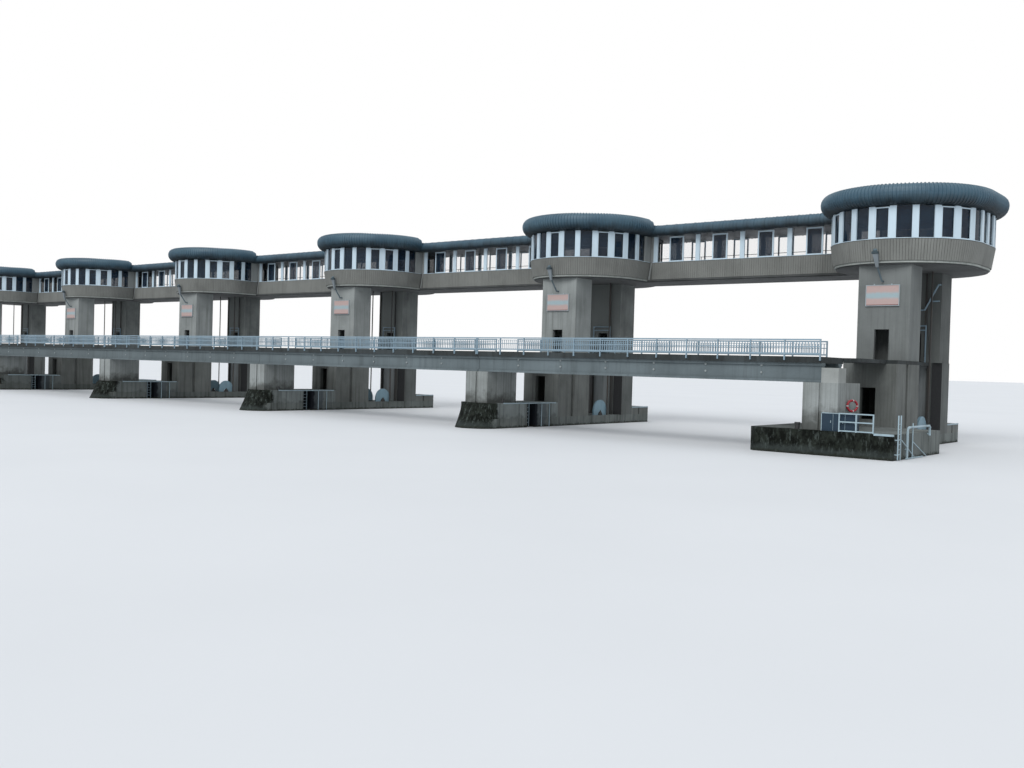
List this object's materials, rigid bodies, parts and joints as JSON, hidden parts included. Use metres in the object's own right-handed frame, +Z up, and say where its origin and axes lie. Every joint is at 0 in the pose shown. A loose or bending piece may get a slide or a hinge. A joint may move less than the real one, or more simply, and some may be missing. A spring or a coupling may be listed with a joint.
{
  "type": "1:10 scale model of a gated river barrage with hoist cabins",
  "caption": "River barrage in one tenth size: twin-tower piers with oval glazed hoist cabins, glazed gangways between them and a service bridge on its own piers.",
  "frame": {"origin": "middle of the plan box at the waterline, where the piers' plinths end", "axes": "+X along the barrage towards the bank pier with the wide platform, +Y downstream from the bridge to the gangways, +Z up"},
  "size_m": [15.214, 2.4916, 1.805],
  "materials": {
    "wet_concrete": "rough, damp, algae at the waterline",
    "pier_concrete": "rough board-marked concrete, streaked",
    "tower_concrete": "weathered fair-faced concrete",
    "deck_concrete": "dark weathered concrete edge",
    "soffit_concrete": "shaded weathered concrete",
    "girder_paint": "matt grey paint, dusty",
    "rail_paint": "pale grey paint, worn",
    "cladding_boards": "ribbed grey-brown boards",
    "floor_lip": "light concrete rim",
    "window_frames": "white paint",
    "window_glass": "dark clear glass",
    "pilaster_paint": "grey-brown paint",
    "roof_metal": "blue-grey standing-seam metal",
    "steel_gear": "dull greased steel",
    "guide_steel": "grey paint, rust runs",
    "cover_paint": "faded light blue paint",
    "board_paint": "faded white paint with red bands",
    "lamp_metal": "dull grey casting",
    "ladder_paint": "pale grey paint",
    "cabinet_paint": "blue-grey paint",
    "bollard_iron": "dark painted iron",
    "buoy_shell": "red plastic with pale bands"
  },
  "bodies": {
    "root": {"pier_plinths": "wet_concrete", "end_platform": "wet_concrete", "nose_platforms": "pier_concrete", "downstream_blocks": "pier_concrete", "front_shaft_doorway_walls": "pier_concrete", "front_shaft_walls": "pier_concrete", "front_shaft_floors": "deck_concrete", "front_shaft_landings": "deck_concrete", "rear_shafts": "pier_concrete", "front_tower_doorway_walls": "tower_concrete", "front_tower_walls": "tower_concrete", "rear_tower_doorway_walls": "tower_concrete", "rear_tower_walls": "tower_concrete", "gap_landings": "deck_concrete", "gate_guides": "guide_steel", "hoist_rods": "steel_gear", "gate_covers": "cover_paint", "guard_frames": "rail_paint", "bridge_piers": "pier_concrete", "end_seat_block": "pier_concrete", "bridge_girders": "girder_paint", "bridge_decks": "deck_concrete", "access_slabs": "deck_concrete", "front_railings": "rail_paint", "rear_railings": "rail_paint", "cabin_soffits": "soffit_concrete", "cabin_floors": "floor_lip", "cabin_cladding": "cladding_boards", "cabin_glass": "window_glass", "cabin_mullions": "window_frames", "cabin_roofs": "roof_metal", "gangway_floors": "soffit_concrete", "gangway_cladding": "cladding_boards", "gangway_glass": "window_glass", "gangway_mullions": "window_frames", "junction_pilasters": "pilaster_paint", "gangway_roofs": "roof_metal", "signal_boards": "board_paint", "sign_lamps": "lamp_metal", "pier_ladders": "ladder_paint", "end_ladder": "ladder_paint", "end_platform_railing": "ladder_paint", "equipment_cabinet": "cabinet_paint", "bollard": "bollard_iron", "lifebuoy": "buoy_shell"}
  },
  "joints": []
}
